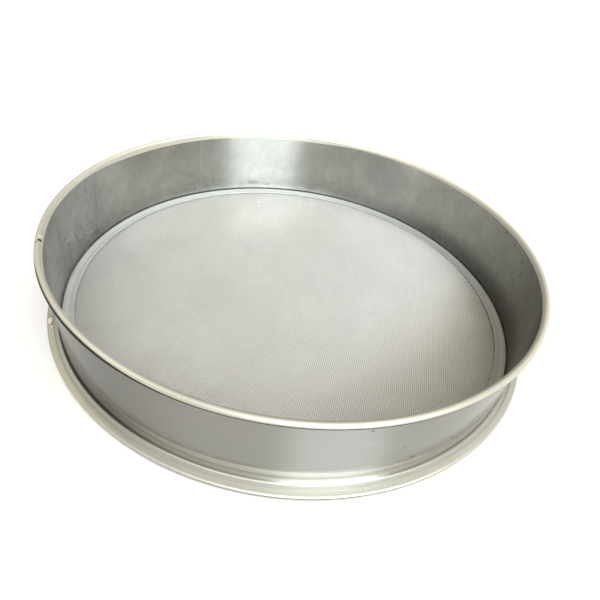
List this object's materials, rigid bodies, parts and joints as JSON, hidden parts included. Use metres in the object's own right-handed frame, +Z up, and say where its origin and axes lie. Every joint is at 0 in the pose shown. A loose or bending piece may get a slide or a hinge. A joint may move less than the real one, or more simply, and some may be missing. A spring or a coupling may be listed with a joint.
{
  "type": "test sieve",
  "caption": "Large round test sieve: a shallow rolled sheet frame with a beaded rim and flanged foot, and woven wire cloth held by a clamp ring and a folded base ring.",
  "frame": {"origin": "centre of the underside of the base ring", "axes": "+Z up the sieve's axis; the frame's upright seam is at 156.5 degrees clockwise from +X, seen from above"},
  "size_m": [0.421, 0.421, 0.071],
  "materials": {
    "polished_steel": "polished stainless sheet with cloudy water marks and fine scratches",
    "rolled_steel": "satin stainless sheet, bright along its folds",
    "wire_cloth": "plain-weave stainless wire cloth, dull silver",
    "clamp_steel": "smooth satin stainless sheet"
  },
  "bodies": {
    "root": {"frame": "polished_steel", "base_ring": "rolled_steel", "sieve_cloth": "wire_cloth", "clamp_ring": "clamp_steel"}
  },
  "joints": []
}
